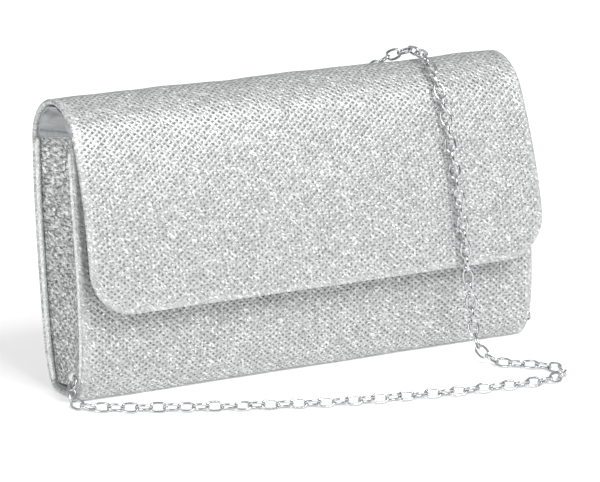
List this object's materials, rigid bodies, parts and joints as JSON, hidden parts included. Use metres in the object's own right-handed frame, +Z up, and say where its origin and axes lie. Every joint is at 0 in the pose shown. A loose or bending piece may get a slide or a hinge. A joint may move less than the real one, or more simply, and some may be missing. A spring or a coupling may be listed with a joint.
{
  "type": "evening clutch bag",
  "caption": "Soft box evening clutch in glittering silver mesh, with folded gussets, a deep front flap on two folds, a magnetic snap and a fine chain strap.",
  "frame": {"origin": "middle of the bag's own box, on the surface it stands on, without the chain", "axes": "+X along the width to the right seen from the front, -Y to the front, +Z up"},
  "size_m": [0.255, 0.1685, 0.1453],
  "materials": {
    "silver_mesh_fabric": "open metallic mesh with glitter",
    "grey_satin": "satin",
    "grey_board": "matt stiffener board",
    "silver_metal": "polished"
  },
  "bodies": {
    "body": {"outer_shell": "silver_mesh_fabric", "front_board": "grey_board", "base_board": "grey_board", "back_board": "grey_board", "front_lining": "grey_satin", "base_lining": "grey_satin", "back_lining": "grey_satin", "left_edge_binding": "silver_mesh_fabric", "right_edge_binding": "silver_mesh_fabric", "front_top_facing": "silver_mesh_fabric", "left_gusset": "silver_mesh_fabric", "right_gusset": "silver_mesh_fabric", "left_gusset_lining": "grey_satin", "right_gusset_lining": "grey_satin", "slip_pocket": "grey_satin", "pocket_band": "grey_satin", "snap_socket": "silver_metal", "socket_washer": "silver_metal", "left_anchor_strap": "silver_mesh_fabric", "right_anchor_strap": "silver_mesh_fabric", "left_anchor_ring": "silver_metal", "right_anchor_ring": "silver_metal", "chain_front_run": "silver_metal", "chain_behind": "silver_metal"},
    "flap_top": {"flap_top_shell": "silver_mesh_fabric", "flap_top_board": "grey_board", "flap_top_lining": "grey_satin", "flap_top_left_binding": "silver_mesh_fabric", "flap_top_right_binding": "silver_mesh_fabric", "chain_over_top": "silver_metal"},
    "flap": {"flap_shell": "silver_mesh_fabric", "flap_board": "grey_board", "flap_lining": "grey_satin", "flap_edge_binding": "silver_mesh_fabric", "snap_stud": "silver_metal", "stud_washer": "silver_metal", "chain_over_flap": "silver_metal"}
  },
  "joints": [
    {"name": "rear_fold", "type": "hinge", "parent": "body", "child": "flap_top", "pos_m": [0, 0.0311, 0.117], "axis": [-1, 0, 0], "range_deg": [0, 100], "deforming": ["chain_over_top"]},
    {"name": "front_fold", "type": "hinge", "parent": "flap_top", "child": "flap", "pos_m": [0, -0.0132, 0.1248], "axis": [-1, 0, 0], "range_deg": [0, 100], "deforming": ["chain_over_flap"]}
  ],
  "couplings": [
    {"joint": "front_fold", "follows": "rear_fold", "ratio": 1}
  ]
}
